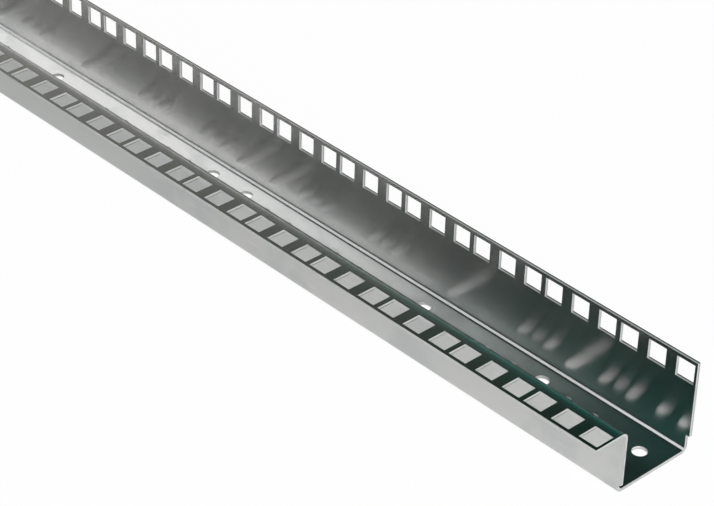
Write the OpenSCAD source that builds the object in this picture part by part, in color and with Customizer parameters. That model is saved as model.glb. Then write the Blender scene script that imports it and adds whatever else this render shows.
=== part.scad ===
// Rack mounting rail: one strip of galvanised sheet, punched and then folded three times.
// A floor carries a tall wall at the back and a low wall at the front, and the low wall ends in an
// outward flange. Both the tall wall and the flange hold a row of square holes on the rack pitch.
// X runs along the rail, the flange faces -Y and the floor lies on Z = 0.

/* [Rail] */
// Number of rack units along the rail
units = 13; // [2:1:47]
// Thickness of the sheet
sheet_t = 1.6; // [1:0.1:3]
// Inside radius of each fold
fold_r = 2; // [0.5:0.1:4]

/* [Section] */
// Width of the floor over both walls
floor_w = 44.5; // [42:0.1:80]
// Height of the tall wall from the floor's underside
tall_h = 48; // [40:0.1:90]
// Height of the flange's upper face from the floor's underside
low_h = 33.5; // [22:0.1:60]
// Reach of the flange from the low wall's outer face
flange_w = 18; // [16:0.1:40]

/* [Square holes] */
// Side of a square hole
square_side = 10; // [6:0.1:11]
// Distance between the three holes of one unit
hole_pitch = 15.875; // [12:0.005:20]
// Distance between the last hole of a unit and the first hole of the next
unit_gap = 12.7; // [11.5:0.05:20]
// Depth of the hole centres below the tall wall's upper edge
tall_row_in = 6.7; // [6:0.1:10]
// Distance of the hole centres from the flange's free edge
flange_row_in = 6.9; // [6:0.1:11]

/* [Floor holes] */
// Distance between the stations of the floor pattern
station_pitch = 25; // [24:0.5:40]
// Width of a long slot
long_slot_w = 7; // [4:0.1:10]
// Length of a long slot over its round ends
long_slot_l = 28; // [12:0.1:34]
// Width of a short slot
short_slot_w = 5.5; // [4:0.1:6]
// Length of a short slot over its round ends
short_slot_l = 10; // [7:0.1:14]
// Distance between the two short slots of a group
short_slot_pitch = 16.2; // [14:0.1:17]
// Diameter of the round hole in the middle of a group
group_hole_d = 6.5; // [4:0.1:7]
// Diameter of the two round holes near each end
end_hole_d = 7; // [4:0.1:8]
// Centre of the outermost round hole from the end of the rail
end_hole_x = 13.8; // [9:0.1:20]
// Centres of the round holes and short slots from the low wall's outer face
hole_row_y = 27.7; // [24:0.1:30]

/* [Ends] */
// Distance by which the floor stops short of the walls
floor_setback = 1.9; // [0.5:0.1:4]
// Height of the corner cut at the foot of the tall wall
tall_cut_h = 9.6; // [5:0.1:20]
// Height of the corner cut at the foot of the low wall
low_cut_h = 5.4; // [5:0.1:15]

/* [Hidden] */
$fn = 64;

// Allowance by which a cutting shape runs past the face it cuts
cut_over = 1;
holes_per_unit = 3;
unit_l = (holes_per_unit - 1) * hole_pitch + unit_gap;
rail_l = units * unit_l;
fold_outer_r = fold_r + sheet_t;
// Section coordinates: y is measured from the low wall's outer face
tall_wall_y = floor_w - sheet_t;
floor_mid_y = floor_w / 2;
section_mid_y = (floor_w - flange_w) / 2;
tall_row_z = tall_h - tall_row_in;
flange_row_y = flange_row_in - flange_w;
// Stations from the middle of the rail, counted in half steps of the pitch
long_slot_stations = [1, 11, 17];
group_stations = [3, 7, 15, 19];
second_hole_station = 21;
group_half_w = (short_slot_pitch + short_slot_w) / 2;
// Least strip of floor between a punch and the outermost round hole
floor_web = 2 * sheet_t;
last_punch_x = rail_l / 2 - end_hole_x - end_hole_d / 2 - floor_web;

// X of one square hole: unit counts from the rail's start, hole counts within the unit
function square_hole_x(unit, hole) = -rail_l / 2 + unit * unit_l + unit_gap / 2 + hole * hole_pitch;

// X of a floor station in half steps of the pitch from the middle
function station_x(half_steps) = half_steps * station_pitch / 2;

// A punch of the given half width is made only where it lies clear of the outermost round hole
function station_fits(half_steps, half_w) = station_x(half_steps) + half_w < last_punch_x;

// Quarter ring of sheet whose centre is at the origin and which fills the quadrant given by the signs
module fold_section(side_y, side_z) {
    intersection() {
        difference() {
            circle(r = fold_outer_r);
            circle(r = fold_r);
        }
        translate([side_y < 0 ? -fold_outer_r : 0, side_z < 0 ? -fold_outer_r : 0])
            square(fold_outer_r);
    }
}

// The folded sheet seen along the rail: horizontal is y, vertical is z
module rail_section() {
    // Tall wall
    translate([tall_wall_y, fold_outer_r])
        square([sheet_t, tall_h - fold_outer_r]);
    translate([floor_w - fold_outer_r, fold_outer_r])
        fold_section(1, -1);
    // Floor
    translate([fold_outer_r, 0])
        square([floor_w - 2 * fold_outer_r, sheet_t]);
    translate([fold_outer_r, fold_outer_r])
        fold_section(-1, -1);
    // Low wall
    translate([0, fold_outer_r])
        square([sheet_t, low_h - 2 * fold_outer_r]);
    translate([sheet_t - fold_outer_r, low_h - fold_outer_r])
        fold_section(1, 1);
    // Flange
    translate([-flange_w, low_h - sheet_t])
        square([flange_w + sheet_t - fold_outer_r, sheet_t]);
}

// Square punch through the tall wall
module tall_wall_punch(x) {
    translate([x - square_side / 2, tall_wall_y - cut_over, tall_row_z - square_side / 2])
        cube([square_side, sheet_t + 2 * cut_over, square_side]);
}

// Square punch through the flange
module flange_punch(x) {
    translate([x - square_side / 2, flange_row_y - square_side / 2, low_h - sheet_t - cut_over])
        cube([square_side, square_side, sheet_t + 2 * cut_over]);
}

// Round punch through the floor
module round_punch(x, y, d) {
    translate([x, y, -cut_over])
        cylinder(d = d, h = sheet_t + 2 * cut_over);
}

// Slot punch across the floor, with round ends
module slot_punch(x, y, width, length) {
    half_run = (length - width) / 2;
    for (side = [-1, 1])
        round_punch(x, y + side * half_run, width);
    translate([x - width / 2, y - half_run, -cut_over])
        cube([width, 2 * half_run, sheet_t + 2 * cut_over]);
}

// Two short slots with a round hole between them
module group_punch(x) {
    for (side = [-1, 1])
        slot_punch(x + side * short_slot_pitch / 2, hole_row_y, short_slot_w, short_slot_l);
    round_punch(x, hole_row_y, group_hole_d);
}

// Corner cuts that let the floor stop short of the walls, at the end on the side given by the sign
module end_cut(side) {
    start_x = side > 0 ? rail_l / 2 - floor_setback : -rail_l / 2 - cut_over;
    cut_l = floor_setback + cut_over;
    translate([start_x, -cut_over, -cut_over])
        cube([cut_l, floor_w + 2 * cut_over, low_cut_h + cut_over]);
    translate([start_x, floor_mid_y, -cut_over])
        cube([cut_l, floor_mid_y + cut_over, tall_cut_h + cut_over]);
}

module mounting_rail() {
    color("silver")
    translate([0, -section_mid_y, 0])
    difference() {
        translate([-rail_l / 2, 0, 0])
            rotate([90, 0, 90])
                linear_extrude(rail_l)
                    rail_section();
        for (unit = [0 : units - 1], hole = [0 : holes_per_unit - 1]) {
            tall_wall_punch(square_hole_x(unit, hole));
            flange_punch(square_hole_x(unit, hole));
        }
        for (side = [-1, 1]) {
            for (half_steps = long_slot_stations)
                if (station_fits(half_steps, long_slot_w / 2))
                    slot_punch(side * station_x(half_steps), floor_mid_y, long_slot_w, long_slot_l);
            for (half_steps = group_stations)
                if (station_fits(half_steps, group_half_w))
                    group_punch(side * station_x(half_steps));
            if (station_fits(second_hole_station, end_hole_d / 2))
                round_punch(side * station_x(second_hole_station), hole_row_y, end_hole_d);
            round_punch(side * (rail_l / 2 - end_hole_x), hole_row_y, end_hole_d);
            end_cut(side);
        }
    }
}

mounting_rail();
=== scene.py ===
"""Rack mounting rail: one folded strip of zinc-coated sheet, lying on a white studio floor.

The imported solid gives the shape. Here its sheared edges are eased and its faces get their finish.
Units are metres, +X runs along the rail, the flange faces -Y and the floor of the rail lies on Z = 0.
"""
import math

import bmesh
import bpy
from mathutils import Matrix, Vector
from mathutils.bvhtree import BVHTree


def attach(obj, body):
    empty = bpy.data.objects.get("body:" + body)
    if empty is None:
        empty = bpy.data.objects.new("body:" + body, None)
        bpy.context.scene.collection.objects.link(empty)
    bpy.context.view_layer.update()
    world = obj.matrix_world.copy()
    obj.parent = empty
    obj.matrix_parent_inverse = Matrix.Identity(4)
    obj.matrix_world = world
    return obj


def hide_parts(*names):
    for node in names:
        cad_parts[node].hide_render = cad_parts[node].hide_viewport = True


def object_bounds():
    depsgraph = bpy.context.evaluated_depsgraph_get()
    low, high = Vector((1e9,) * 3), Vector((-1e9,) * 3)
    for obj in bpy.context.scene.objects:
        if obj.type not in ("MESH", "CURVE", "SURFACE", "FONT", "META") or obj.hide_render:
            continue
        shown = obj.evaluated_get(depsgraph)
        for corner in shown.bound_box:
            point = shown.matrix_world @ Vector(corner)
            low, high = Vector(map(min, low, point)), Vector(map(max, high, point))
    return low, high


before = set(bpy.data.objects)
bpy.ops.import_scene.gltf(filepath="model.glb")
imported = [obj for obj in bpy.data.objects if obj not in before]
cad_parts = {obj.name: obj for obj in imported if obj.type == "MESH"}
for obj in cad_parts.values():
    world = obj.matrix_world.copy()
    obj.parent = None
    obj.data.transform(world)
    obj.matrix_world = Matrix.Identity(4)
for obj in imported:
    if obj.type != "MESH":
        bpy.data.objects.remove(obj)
cad_low, cad_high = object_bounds()

MM = 0.001

# The sheet
SHEET_T = 1.6 * MM
SHEET_T_SLACK = 0.03 * MM
EDGE_EASE = 0.18 * MM
EDGE_EASE_STEPS = 2
SHARP_ANGLE = math.radians(40)
MERGE_GAP = 0.001 * MM
FLAT_ANGLE = math.radians(0.5)

# Material slots of the rail
ZINC_FACE = 0
SHEARED_EDGE = 1
EASED_EDGE = 2

# Attribute of the rail's corners: 0 on the side of the sheet that faces into the channel, 1 on the other
CUT_DEPTH = "cut_depth"
# Attribute of the rail's corners: 1 midway in the hollow side of the tall wall's fold, 0 on flat sheet. It
# places the fold's crazed dulling and its painted highlight.
BEND = "bend"

# Marks of rolled and handled sheet: usual sizes, which a material may change
MARK_SIZES = {
    "Cloud Size": 60 * MM,
    "Smudge Size": 22 * MM,
    "Grain Size": 0.5 * MM,
    "Line Size": 0.15 * MM,
}
# Noise values between which each mark fades in. Scuffs also fade in with the cloud.
CLOUD_FADE = (0.32, 0.68)
SMUDGE_FADE = (0.52, 0.68)
SCUFF_FADE = (0.66, 0.74)
SCUFF_CLOUD_FADE = (0.52, 0.62)

# Zinc-coated faces
ZINC_COOL = (0.63, 0.636, 0.628, 1)
ZINC_WARM = (0.655, 0.652, 0.642, 1)
ZINC_SMUDGED = (0.58, 0.59, 0.585, 1)
ZINC_SCUFFED = (0.70, 0.70, 0.70, 1)
ZINC_ROUGHNESS = 0.125
ZINC_CLOUD_DULLING = 0.015
ZINC_SMUDGE_DULLING = 0.02
ZINC_ROLLED_SHEEN = 0.92
ZINC_WAVE_STRENGTH = 0.25
ZINC_WAVE_DEPTH = 0.2 * MM
ZINC_LINE_STRENGTH = 1.0
ZINC_LINE_DEPTH = 0.003 * MM
ZINC_GRAIN_STRENGTH = 0.12
ZINC_GRAIN_DEPTH = 0.02 * MM

# Zinc that is crazed by folding, dull and less metallic, with a painted highlight: a pale colour in the
# hollow of the tall wall's fold that stands for the bright line the fold catches
CRAZED_PALE_HIGHLIGHT = (0.80, 0.81, 0.81, 1)
CRAZED_HIGHLIGHT_FADE = (0.5, 0.95)
CRAZED_HIGHLIGHT_RAGGEDNESS = 0.2
CRAZED_DULLING = 0.35
CRAZED_METAL_LOSS = -0.7

# Cut faces: a torn band and a burnished band
TORN_DIM = (0.48, 0.48, 0.47, 1)
TORN_PALE = (0.54, 0.54, 0.53, 1)
TORN_SMUDGED = (0.42, 0.42, 0.41, 1)
TORN_ROUGHNESS = 0.5
TORN_GRAIN_DULLING = 0.2
TORN_METAL = 0.3
TORN_STRENGTH = 0.3
TORN_DEPTH = 0.05 * MM
BURNISHED = (0.66, 0.67, 0.67, 1)
BURNISHED_FADE = (0.62, 0.74)
BURNISHED_RAGGEDNESS = 0.3
BURNISHED_POLISH = -0.35
BURNISHED_METAL_GAIN = 0.7

# Eased edges
EASED_DIM = (0.68, 0.685, 0.68, 1)
EASED_BRIGHT = (0.78, 0.78, 0.77, 1)
EASED_SMUDGED = (0.56, 0.565, 0.56, 1)
EASED_ROUGHNESS = 0.3
EASED_SMUDGE_DULLING = 0.15
EASED_METAL = 0.9

# Camera of the photograph: its image is 714 x 506 and its principal point is the middle
CAMERA_PLACE = (0.83250, -0.69256, 0.69532)
CAMERA_TURN_DEG = (56.1990, -1.5528, 47.1581)
CAMERA_SENSOR_MM = 36.0
CAMERA_LENS_MM = 133.168

# Studio floor and walls
FLOOR_HALF = 20.0
FLOOR_DROP = 0.2 * MM
FLOOR_GREY = (0.80, 0.80, 0.80, 1)
FLOOR_LIFT = 0.97
FLOOR_LIFT_MIRRORED = 0.06
WALL_SEEN = (1, 1, 1, 1)
WALL_FOOT = (0.40, 0.40, 0.40, 1)
WALL_FOOT_TOP_DEG = 14
WALL_DARK = (0.008, 0.020, 0.014, 1)
# Soft panels on the walls: azimuth, elevation, radius of the even core and of the faded rim, colour
SOFT_PANELS_DEG = [
    (238, 42, 6, 34, (0.020, 0.115, 0.098)),
    (162, 18, 5, 36, (0.43, 0.42, 0.40)),
    (150, 5, 8, 22, (0.80, 0.79, 0.76)),
    (203, 20, 20, 30.8, (2.05, 2.06, 2.08)),
    (180, 10, 14, 27, (0.42, 0.42, 0.42)),
    (0, 90, 10, 28, (0.50, 0.50, 0.50)),
    (25, 22, 8, 28, (2.0, 2.0, 2.0)),
    (300, 20, 8, 26, (0.8, 0.8, 0.8)),
]
# Key lamp: a square softbox beside the camera
KEY_AZIMUTH_DEG = 330
KEY_ELEVATION_DEG = 28
KEY_DISTANCE = 2.2
KEY_SIDE = 0.8
KEY_RADIANCE = 24.0

# Cards close above the rail, upright and along it, which the channel mirrors: their far and near ends
CARD_ENDS = (-400 * MM, 330 * MM)
# The toned card stands over the tall wall: cool at the near end, pale at the far end and dim along its foot
TONED_CARD_Y = 36.75 * MM
TONED_CARD_FOOT = 58 * MM
TONED_CARD_TOP = 73 * MM
TONED_CARD_TURN = (-20 * MM, 220 * MM)
TONED_CARD_COOL = (0.12, 0.58, 0.50, 1)
TONED_CARD_PALE = (1.30, 1.30, 1.28, 1)
# The black card stands over the low wall and keeps the bright panel out of the tall wall's upper edge
BLACK_CARD_Y = -13.25 * MM
BLACK_CARD_FAR_FOOT = 80 * MM
BLACK_CARD_NEAR_FOOT = 58 * MM
BLACK_CARD_TOP = 115 * MM
BLACK = (0, 0, 0, 1)

# Sockets of a Mix node that mixes colours
MIX_AMOUNT = 0
MIX_FIRST_COLOUR = 6
MIX_SECOND_COLOUR = 7
MIX_RESULT_COLOUR = 2


# Nodes

def feed(tree, node, inputs):
    """Sets the inputs of a node, or links those whose value comes from another node."""
    for name, value in inputs.items():
        if isinstance(value, bpy.types.NodeSocket):
            tree.links.new(value, node.inputs[name])
        else:
            node.inputs[name].default_value = value


def put(tree, kind, settings=None, inputs=None):
    """Adds one node, sets its properties and feeds its inputs."""
    node = tree.nodes.new(kind)
    for name, value in (settings or {}).items():
        setattr(node, name, value)
    feed(tree, node, inputs or {})
    return node


def math_node(tree, operation, *values):
    """Puts one Math node and returns its output."""
    node = put(tree, "ShaderNodeMath", {"operation": operation}, dict(enumerate(values)))
    return node.outputs[0]


def shifted(tree, base, mark, amount):
    """Adds a mark, times an amount, to a base value."""
    return math_node(tree, "MULTIPLY_ADD", mark, amount, base)


def spread(tree, value, low, high):
    """Maps a value smoothly from 0 at low to 1 at high and keeps it inside."""
    node = put(tree, "ShaderNodeMapRange", {"interpolation_type": "SMOOTHSTEP"},
               {"Value": value, "From Min": low, "From Max": high})
    return node.outputs["Result"]


def blend_colour(tree, amount, first, second):
    """Mixes two colours and returns the result."""
    node = put(tree, "ShaderNodeMix", {"data_type": "RGBA"},
               {MIX_AMOUNT: amount, MIX_FIRST_COLOUR: first, MIX_SECOND_COLOUR: second})
    return node.outputs[MIX_RESULT_COLOUR]


def raised(tree, height, strength, depth, under=None):
    """Raises the surface by a mark, on top of the marks under it, and returns the normal."""
    inputs = {"Height": height, "Strength": strength, "Distance": depth}
    if under is not None:
        inputs["Normal"] = under
    return put(tree, "ShaderNodeBump", None, inputs).outputs["Normal"]


def corner_value(tree, name):
    """Value of one of the rail's corner attributes."""
    return put(tree, "ShaderNodeAttribute", {"attribute_name": name}).outputs["Fac"]


def empty_material(name):
    """Node material without nodes."""
    material = bpy.data.materials.new(name)
    material.use_nodes = True
    material.node_tree.nodes.clear()
    return material, material.node_tree


# Materials of the rail

def handled_sheet_group():
    """Marks of rolled and handled sheet: cloudy tone, rolling lines, smudges, scuffs, grain and waves."""
    group = bpy.data.node_groups.new("handled_sheet", "ShaderNodeTree")
    sockets = group.interface
    for name, size in MARK_SIZES.items():
        sockets.new_socket(name, in_out="INPUT", socket_type="NodeSocketFloat").default_value = size
    entry = group.nodes.new("NodeGroupInput")
    place = group.nodes.new("ShaderNodeTexCoord").outputs["Object"]

    def sized_noise(size_name, stretch=(1, 1, 1), shift=(0, 0, 0), detail=3.0):
        scale = math_node(group, "DIVIDE", 1.0, entry.outputs[size_name])
        laid = put(group, "ShaderNodeMapping", None,
                   {"Vector": place, "Location": shift, "Scale": stretch}).outputs["Vector"]
        return put(group, "ShaderNodeTexNoise", None,
                   {"Vector": laid, "Scale": scale, "Detail": detail}).outputs["Fac"]

    cloud = sized_noise("Cloud Size")
    smudge = sized_noise("Smudge Size", shift=(0.3, 0.1, 0.2), detail=5.0)
    lines = sized_noise("Line Size", stretch=(0.01, 1, 1), detail=1.0)
    scuff = sized_noise("Grain Size", stretch=(0.03, 0.4, 0.4), shift=(0.7, 0.4, 0.1), detail=1.0)
    grain = sized_noise("Grain Size", detail=2.0)
    wave = sized_noise("Smudge Size", stretch=(0.6, 1, 1), shift=(0.9, 0.2, 0.5), detail=0.0)
    scuff_place = spread(group, cloud, *SCUFF_CLOUD_FADE)
    results = {
        "Cloud": spread(group, cloud, *CLOUD_FADE),
        "Lines": lines,
        "Smudges": spread(group, smudge, *SMUDGE_FADE),
        "Scuffs": math_node(group, "MULTIPLY", spread(group, scuff, *SCUFF_FADE), scuff_place),
        "Grain": grain,
        "Wave": wave,
    }
    for name in results:
        sockets.new_socket(name, in_out="OUTPUT", socket_type="NodeSocketFloat")
    put(group, "NodeGroupOutput", None, results)
    return group


def place_marks(tree, group, **sizes):
    """Puts the sheet's marks into a material and returns their outputs."""
    node = put(tree, "ShaderNodeGroup", {"node_tree": group},
               {name.replace("_", " ").title(): size for name, size in sizes.items()})
    return node.outputs


def surface_material(name):
    """Node material with its Principled shader linked to the output."""
    material, tree = empty_material(name)
    shader = put(tree, "ShaderNodeBsdfPrincipled")
    put(tree, "ShaderNodeOutputMaterial", None, {"Surface": shader.outputs["BSDF"]})
    return material, tree, shader


def zinc_face_material(group):
    """Zinc-coated face: satin metal with rolling lines and smudges. In the tall wall's fold it is crazed
    dull and painted pale as a highlight.
    """
    material, tree, shader = surface_material("zinc_coated_face")
    marks = place_marks(tree, group, cloud_size=70 * MM, smudge_size=24 * MM, grain_size=0.5 * MM)
    cast = blend_colour(tree, marks["Cloud"], ZINC_COOL, ZINC_WARM)
    smudged = blend_colour(tree, marks["Smudges"], cast, ZINC_SMUDGED)
    scuffed = blend_colour(tree, marks["Scuffs"], smudged, ZINC_SCUFFED)
    bend = shifted(tree, corner_value(tree, BEND), marks["Grain"], CRAZED_HIGHLIGHT_RAGGEDNESS)
    crazed_highlight = spread(tree, bend, *CRAZED_HIGHLIGHT_FADE)
    sheen = shifted(tree, ZINC_ROUGHNESS, marks["Cloud"], ZINC_CLOUD_DULLING)
    dulled = shifted(tree, sheen, marks["Smudges"], ZINC_SMUDGE_DULLING)
    wavy = raised(tree, marks["Wave"], ZINC_WAVE_STRENGTH, ZINC_WAVE_DEPTH)
    rolled = raised(tree, marks["Lines"], ZINC_LINE_STRENGTH, ZINC_LINE_DEPTH, wavy)
    across = put(tree, "ShaderNodeTangent", {"direction_type": "RADIAL", "axis": "X"})
    feed(tree, shader, {
        # Painted highlight: the hollow of the tall wall's fold is coloured pale, on top of its crazed
        # dulling
        "Base Color": blend_colour(tree, crazed_highlight, scuffed, CRAZED_PALE_HIGHLIGHT),
        "Roughness": shifted(tree, dulled, crazed_highlight, CRAZED_DULLING),
        "Metallic": shifted(tree, 1.0, crazed_highlight, CRAZED_METAL_LOSS),
        "Anisotropic": ZINC_ROLLED_SHEEN,
        "Tangent": across.outputs["Tangent"],
        "Normal": raised(tree, marks["Grain"], ZINC_GRAIN_STRENGTH, ZINC_GRAIN_DEPTH, rolled),
    })
    return material


def sheared_edge_material(group):
    """Cut face of the sheet: a pale torn band next to the channel's side and a burnished band behind it."""
    material, tree, shader = surface_material("sheared_edge")
    marks = place_marks(tree, group, cloud_size=18 * MM, smudge_size=5 * MM, grain_size=0.25 * MM)
    depth = shifted(tree, corner_value(tree, CUT_DEPTH), marks["Grain"], BURNISHED_RAGGEDNESS)
    burnished = spread(tree, depth, *BURNISHED_FADE)
    cast = blend_colour(tree, marks["Cloud"], TORN_DIM, TORN_PALE)
    torn = blend_colour(tree, marks["Smudges"], cast, TORN_SMUDGED)
    matt = shifted(tree, TORN_ROUGHNESS, marks["Grain"], TORN_GRAIN_DULLING)
    feed(tree, shader, {
        "Base Color": blend_colour(tree, burnished, torn, BURNISHED),
        "Roughness": shifted(tree, matt, burnished, BURNISHED_POLISH),
        "Metallic": shifted(tree, TORN_METAL, burnished, BURNISHED_METAL_GAIN),
        "Normal": raised(tree, marks["Grain"], TORN_STRENGTH, TORN_DEPTH),
    })
    return material


def eased_edge_material(group):
    """Narrow rounded edge between a face and a cut, rubbed bright by handling."""
    material, tree, shader = surface_material("eased_edge")
    marks = place_marks(tree, group, cloud_size=25 * MM, smudge_size=8 * MM, grain_size=0.3 * MM)
    cast = blend_colour(tree, marks["Cloud"], EASED_DIM, EASED_BRIGHT)
    feed(tree, shader, {
        "Base Color": blend_colour(tree, marks["Smudges"], cast, EASED_SMUDGED),
        "Roughness": shifted(tree, EASED_ROUGHNESS, marks["Smudges"], EASED_SMUDGE_DULLING),
        "Metallic": EASED_METAL,
    })
    return material


# The rail

def solid_tree(mesh):
    """Ray tree of the solid's own triangles."""
    corners = [vertex.co.copy() for vertex in mesh.vertices]
    faces = [tuple(face.vertices) for face in mesh.polygons]
    return BVHTree.FromPolygons(corners, faces)


def is_cut(face, tree):
    """A face with one sheet thickness behind it is coated skin, and any other is a cut edge."""
    inward = -face.normal
    start = face.calc_center_median() + inward * MERGE_GAP
    *_, depth = tree.ray_cast(start, inward)
    return depth is None or abs(depth + MERGE_GAP - SHEET_T) > SHEET_T_SLACK


def joined_faces(start):
    """Faces of the same kind as the start that join up with it, found by walking over shared edges."""
    found = {start}
    waiting = [start]
    while waiting:
        for edge in waiting.pop().edges:
            for face in edge.link_faces:
                if face.material_index == start.material_index and face not in found:
                    found.add(face)
                    waiting.append(face)
    return found


def mark_cuts(shape):
    """Marks how deep each corner lies in the cut sheet, counted from the channel's side."""
    depth = shape.verts.layers.float.new(CUT_DEPTH)
    for corner in shape.verts:
        corner[depth] = 1.0
    coated = [face for face in shape.faces if face.material_index == ZINC_FACE]
    floor_face = max(coated, key=lambda face: face.normal.z * face.calc_area())
    for face in joined_faces(floor_face):
        for corner in face.verts:
            corner[depth] = 0.0


def hollow_bend(corner):
    """How far a corner lies into the hollow side of the tall wall's fold, from 0 at its ends to 1 midway."""
    facing = sum((face.normal for face in corner.link_faces if face.material_index == ZINC_FACE), Vector())
    if facing.length == 0:
        return 0.0
    facing.normalize()
    skin_edges = [edge for edge in corner.link_edges
                  if any(face.material_index == ZINC_FACE for face in edge.link_faces)]
    rise = sum((edge.other_vert(corner).co - corner.co).dot(facing) for edge in skin_edges)
    on_tall_wall_side = corner.co.y > 0
    if rise > 0 and on_tall_wall_side:
        return 1 - abs(abs(facing.y) - abs(facing.z))
    return 0.0


def mark_bend(shape):
    """Marks how far each corner lies into the tall wall's fold."""
    bend = shape.verts.layers.float.new(BEND)
    for corner in shape.verts:
        corner[bend] = hollow_bend(corner)


def sorted_rail(node):
    """Copy of the rail's solid with merged corners, sorted into coated and cut faces and marked."""
    inside = solid_tree(node.data)
    shape = bmesh.new()
    corners = [shape.verts.new(vertex.co) for vertex in node.data.vertices]
    for face in node.data.polygons:
        shape.faces.new([corners[index] for index in face.vertices])
    bmesh.ops.remove_doubles(shape, verts=shape.verts, dist=MERGE_GAP)
    shape.normal_update()
    for face in shape.faces:
        face.material_index = SHEARED_EDGE if is_cut(face, inside) else ZINC_FACE
        face.smooth = True
    mark_cuts(shape)
    mark_bend(shape)
    bmesh.ops.dissolve_limit(shape, angle_limit=FLAT_ANGLE, verts=shape.verts, edges=shape.edges,
                             delimit={"MATERIAL"})
    return shape


def ease_edges(rail):
    """Rounds the sharp edges a little and keeps the result as a plain mesh inside the solid's box."""
    ease = rail.modifiers.new("eased_edges", "BEVEL")
    ease.width = EDGE_EASE
    ease.segments = EDGE_EASE_STEPS
    ease.limit_method = "ANGLE"
    ease.angle_limit = SHARP_ANGLE
    ease.material = EASED_EDGE
    ease.harden_normals = True
    scene_state = bpy.context.evaluated_depsgraph_get()
    eased = bpy.data.meshes.new_from_object(rail.evaluated_get(scene_state), preserve_all_data_layers=True,
                                            depsgraph=scene_state)
    rail.modifiers.clear()
    rail.data = eased
    for vertex in eased.vertices:
        for axis in range(3):
            vertex.co[axis] = min(max(vertex.co[axis], cad_low[axis]), cad_high[axis])


def eased_rail(node, materials):
    """The rail with its materials and eased edges."""
    shape = sorted_rail(node)
    mesh = bpy.data.meshes.new("folded_rail")
    shape.to_mesh(mesh)
    shape.free()
    for material in materials:
        mesh.materials.append(material)
    rail = bpy.data.objects.new("folded_rail", mesh)
    bpy.context.collection.objects.link(rail)
    ease_edges(rail)
    return rail


# Studio

def stage_sheet(name, corners, material):
    """Flat four-cornered piece of the studio."""
    mesh = bpy.data.meshes.new(name)
    mesh.from_pydata(corners, [], [(0, 1, 2, 3)])
    mesh.materials.append(material)
    sheet = bpy.data.objects.new(name, mesh)
    bpy.context.collection.objects.link(sheet)
    return sheet


def floor_material():
    """Pale floor: lifted nearly to white where the camera sees it, a little where the rail mirrors it."""
    material, tree = empty_material("white_floor")
    ray = put(tree, "ShaderNodeLightPath").outputs
    bounced = math_node(tree, "MAXIMUM", ray["Is Glossy Ray"], ray["Is Transmission Ray"])
    mirrored = math_node(tree, "MULTIPLY", bounced, FLOOR_LIFT_MIRRORED)
    lift = shifted(tree, mirrored, ray["Is Camera Ray"], FLOOR_LIFT)
    paper = put(tree, "ShaderNodeBsdfDiffuse", None, {"Color": FLOOR_GREY})
    glow = put(tree, "ShaderNodeEmission", None, {"Strength": 1.0})
    mixed = put(tree, "ShaderNodeMixShader", None,
                {0: lift, 1: paper.outputs["BSDF"], 2: glow.outputs["Emission"]})
    put(tree, "ShaderNodeOutputMaterial", None, {"Surface": mixed.outputs["Shader"]})
    return material


def add_floor():
    """Wide flat floor just under the rail."""
    corners = [(-FLOOR_HALF, -FLOOR_HALF, -FLOOR_DROP), (FLOOR_HALF, -FLOOR_HALF, -FLOOR_DROP),
               (FLOOR_HALF, FLOOR_HALF, -FLOOR_DROP), (-FLOOR_HALF, FLOOR_HALF, -FLOOR_DROP)]
    studio_floor = stage_sheet("studio_floor", corners, floor_material())


def direction(azimuth_deg, elevation_deg):
    """Unit vector towards an azimuth from +X and an elevation above the floor."""
    azimuth = math.radians(azimuth_deg)
    elevation = math.radians(elevation_deg)
    level = math.cos(elevation)
    return Vector((level * math.cos(azimuth), level * math.sin(azimuth), math.sin(elevation)))


def add_key_lamp():
    """Square softbox that faces the rail, lights the floor and throws the shadow."""
    lamp = bpy.data.lights.new("key_softbox", "AREA")
    lamp.shape = "SQUARE"
    lamp.size = KEY_SIDE
    lamp.energy = KEY_RADIANCE * math.pi * KEY_SIDE**2
    box = bpy.data.objects.new("key_softbox", lamp)
    towards = direction(KEY_AZIMUTH_DEG, KEY_ELEVATION_DEG)
    box.location = towards * KEY_DISTANCE
    box.rotation_euler = towards.to_track_quat("Z", "Y").to_euler()
    box.visible_camera = False
    bpy.context.collection.objects.link(box)


def glow_material(name):
    """Material that only glows, black until its colour is fed."""
    material, tree = empty_material(name)
    glow = put(tree, "ShaderNodeEmission", None, {"Color": BLACK})
    put(tree, "ShaderNodeOutputMaterial", None, {"Surface": glow.outputs["Emission"]})
    return material, tree, glow


def toned_card_material():
    """Glow of the toned card, from pale to cool along the rail and from dim to full up its height."""
    material, tree, glow = glow_material("toned_card")
    place = put(tree, "ShaderNodeTexCoord").outputs["Object"]
    parts = put(tree, "ShaderNodeSeparateXYZ", None, {"Vector": place}).outputs
    nearness = spread(tree, parts["X"], *TONED_CARD_TURN)
    feed(tree, glow, {
        "Color": blend_colour(tree, nearness, TONED_CARD_PALE, TONED_CARD_COOL),
        "Strength": spread(tree, parts["Z"], TONED_CARD_FOOT, TONED_CARD_TOP),
    })
    return material


def black_card_material():
    """The black card gives no light."""
    material, *_ = glow_material("black_card")
    return material


def add_card(name, y, far_foot, near_foot, top, material):
    """Upright card along the rail that the camera doesn't see."""
    far, near = CARD_ENDS
    corners = [(far, y, far_foot), (near, y, near_foot), (near, y, top), (far, y, top)]
    card = stage_sheet(name, corners, material)
    card.visible_camera = False
    card.visible_shadow = False


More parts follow.
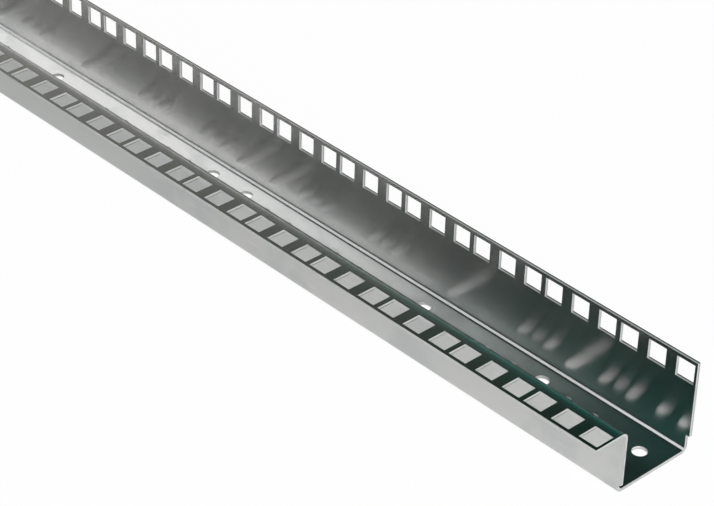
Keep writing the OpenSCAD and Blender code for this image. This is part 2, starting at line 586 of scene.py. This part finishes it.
def add_cards():
    """The two cards that tone what the channel mirrors."""
    add_card("toned_card", TONED_CARD_Y, TONED_CARD_FOOT, TONED_CARD_FOOT, TONED_CARD_TOP,
             toned_card_material())
    add_card("black_card", BLACK_CARD_Y, BLACK_CARD_FAR_FOOT, BLACK_CARD_NEAR_FOOT, BLACK_CARD_TOP,
             black_card_material())


def dim_walls():
    """World: white where the camera looks past the floor, and dark walls with soft panels elsewhere."""
    world = bpy.data.worlds.new("studio_walls")
    bpy.context.scene.world = world
    world.use_nodes = True
    tree = world.node_tree
    tree.nodes.clear()
    ray = put(tree, "ShaderNodeTexCoord").outputs["Generated"]
    height = put(tree, "ShaderNodeSeparateXYZ", None, {"Vector": ray}).outputs["Z"]
    foot = spread(tree, height, math.sin(math.radians(WALL_FOOT_TOP_DEG)), 0.0)
    walls = blend_colour(tree, foot, WALL_DARK, WALL_FOOT)
    for azimuth, elevation, core, rim, colour in SOFT_PANELS_DEG:
        facing = put(tree, "ShaderNodeVectorMath", {"operation": "DOT_PRODUCT"},
                     {0: ray, 1: direction(azimuth, elevation)}).outputs["Value"]
        angle = math_node(tree, "ARCCOSINE", facing)
        panel = spread(tree, angle, math.radians(rim), math.radians(core))
        walls = blend_colour(tree, panel, walls, (*colour, 1))
    seen = put(tree, "ShaderNodeLightPath").outputs["Is Camera Ray"]
    shown = blend_colour(tree, seen, walls, WALL_SEEN)
    glow = put(tree, "ShaderNodeBackground", None, {"Color": shown})
    put(tree, "ShaderNodeOutputWorld", None, {"Surface": glow.outputs["Background"]})


def add_camera():
    """Camera of the photograph."""
    lens = bpy.data.cameras.new("photo_camera")
    lens.sensor_width = CAMERA_SENSOR_MM
    lens.lens = CAMERA_LENS_MM
    camera = bpy.data.objects.new("photo_camera", lens)
    camera.location = CAMERA_PLACE
    camera.rotation_euler = [math.radians(turn) for turn in CAMERA_TURN_DEG]
    bpy.context.collection.objects.link(camera)
    bpy.context.scene.camera = camera


marks_group = handled_sheet_group()
rail_materials = [zinc_face_material(marks_group), sheared_edge_material(marks_group),
                  eased_edge_material(marks_group)]
rail = eased_rail(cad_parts["mounting_rail"], rail_materials)
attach(rail, "root")
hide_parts("mounting_rail")

add_floor()
add_key_lamp()
add_cards()
dim_walls()
add_camera()
bpy.context.scene.view_settings.view_transform = "Standard"
